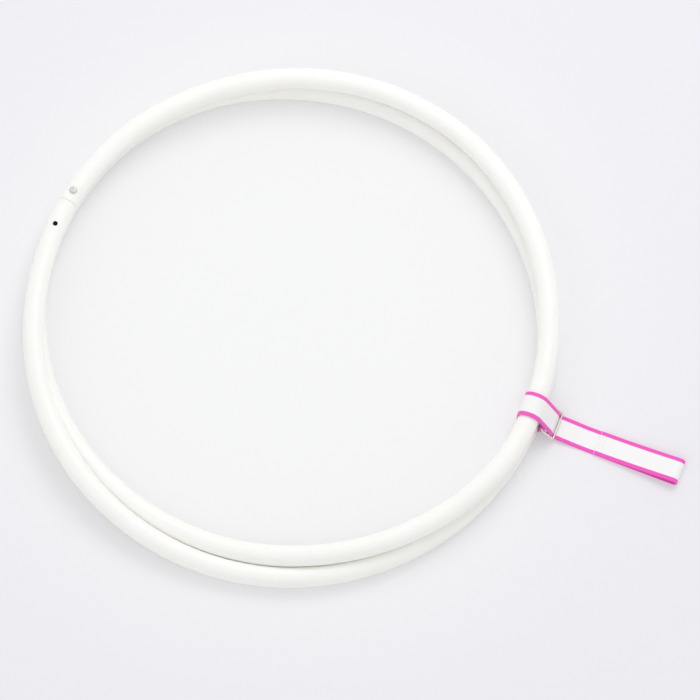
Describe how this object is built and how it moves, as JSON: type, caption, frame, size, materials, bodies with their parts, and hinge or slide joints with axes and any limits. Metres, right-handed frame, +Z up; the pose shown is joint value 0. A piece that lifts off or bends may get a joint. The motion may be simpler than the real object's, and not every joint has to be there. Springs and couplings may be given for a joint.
{
  "type": "rhythmic gymnastics hoop",
  "caption": "Plastic-tube gymnastics hoop coiled to a double ring, with a push-button joint in the tube and a webbing strap with a slide buckle that holds the coil.",
  "frame": {"origin": "centre of the coil, on the surface that it lies on", "axes": "+Z up, out of the coil's plane; +X towards the side that the strap is on, so that the strap's tail points 21 degrees clockwise of +X seen from above"},
  "size_m": [0.5651, 0.4644, 0.04],
  "materials": {
    "tube": "satin white polyethylene tube",
    "sleeve": "moulded black plastic",
    "pin": "flush black plastic pin",
    "button": "polished dome",
    "spring": "spring steel strip",
    "webbing": "woven white webbing with a pink stripe along each edge",
    "buckle": "nickel-plated wire"
  },
  "bodies": {
    "hoop": {"hoop_tube": "tube", "joint_sleeve": "sleeve", "joint_pin": "pin", "button_spring": "spring"},
    "button": {"push_button": "button"},
    "strap": {"strap_band": "webbing", "slide_buckle": "buckle"},
    "tail": {"strap_tail": "webbing"}
  },
  "joints": [
    {"name": "button_press", "type": "slide", "parent": "hoop", "child": "button", "axis": [0, 0, -1], "range_m": [0, 0.0033], "stiffness_N_per_m": 900, "springref_m": -0.002, "deforming": ["button_spring"]},
    {"name": "strap_shift", "type": "hinge", "parent": "hoop", "child": "strap", "pos_m": [-0.00793, 0.00348, 0.01996], "axis": [0, 0, 1], "range_deg": [-4, 4]},
    {"name": "tail_lift", "type": "hinge", "parent": "strap", "child": "tail", "pos_m": [0.22779, -0.08744, 0.005], "axis": [-0.3584, -0.9336, 0], "range_deg": [0, 110]}
  ]
}
